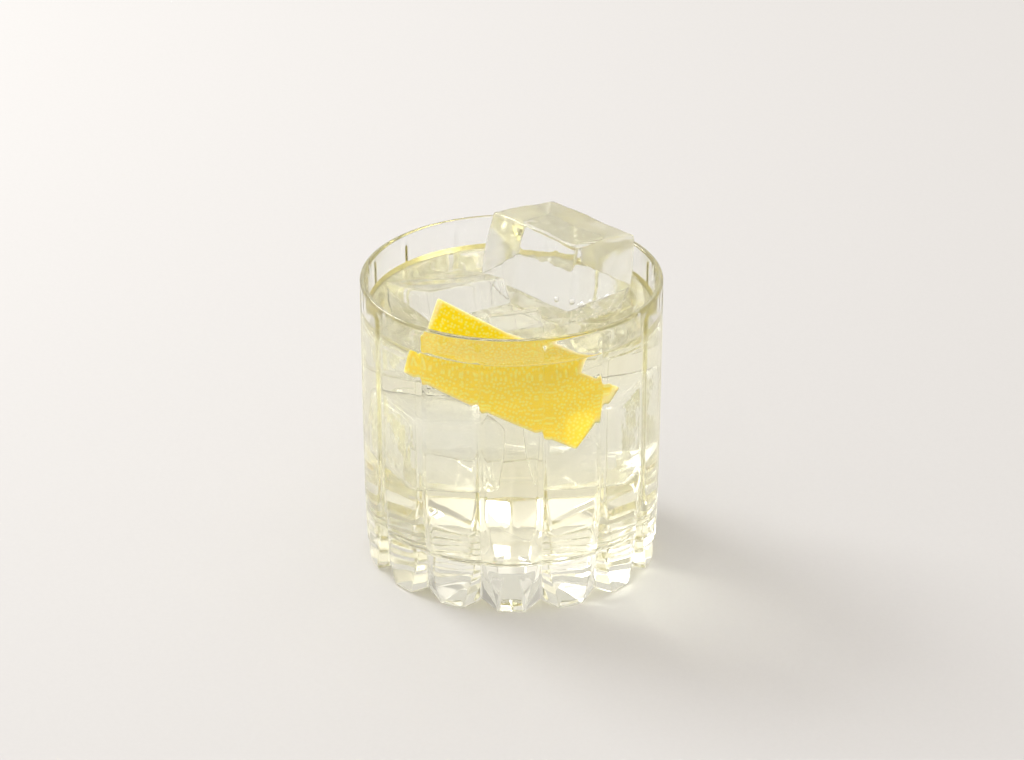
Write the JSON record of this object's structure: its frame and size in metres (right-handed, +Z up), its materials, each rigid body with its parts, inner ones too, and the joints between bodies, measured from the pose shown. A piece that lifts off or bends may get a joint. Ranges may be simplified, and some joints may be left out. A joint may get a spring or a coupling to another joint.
{
  "type": "americano cocktail",
  "caption": "Pale yellow cocktail in a round rocks tumbler with upright panels and a star-cut foot, with clear ice and a strip of lemon peel.",
  "frame": {"origin": "centre of the foot, on the surface the glass stands on", "axes": "+Z up along the glass's axis, -Y the front seen in the picture, +X to the right seen from the front"},
  "size_m": [0.083, 0.083, 0.0927],
  "materials": {
    "glass": "clear polished glass",
    "drink": "clear pale yellow liquid",
    "ice": "clear wet ice, faintly cloudy",
    "zest": "bright yellow citrus zest with fine oil glands"
  },
  "bodies": {
    "root": {"tumbler": "glass", "drink": "drink", "ice_back": "ice", "ice_left": "ice", "ice_front": "ice", "lemon_peel": "zest"}
  },
  "joints": []
}
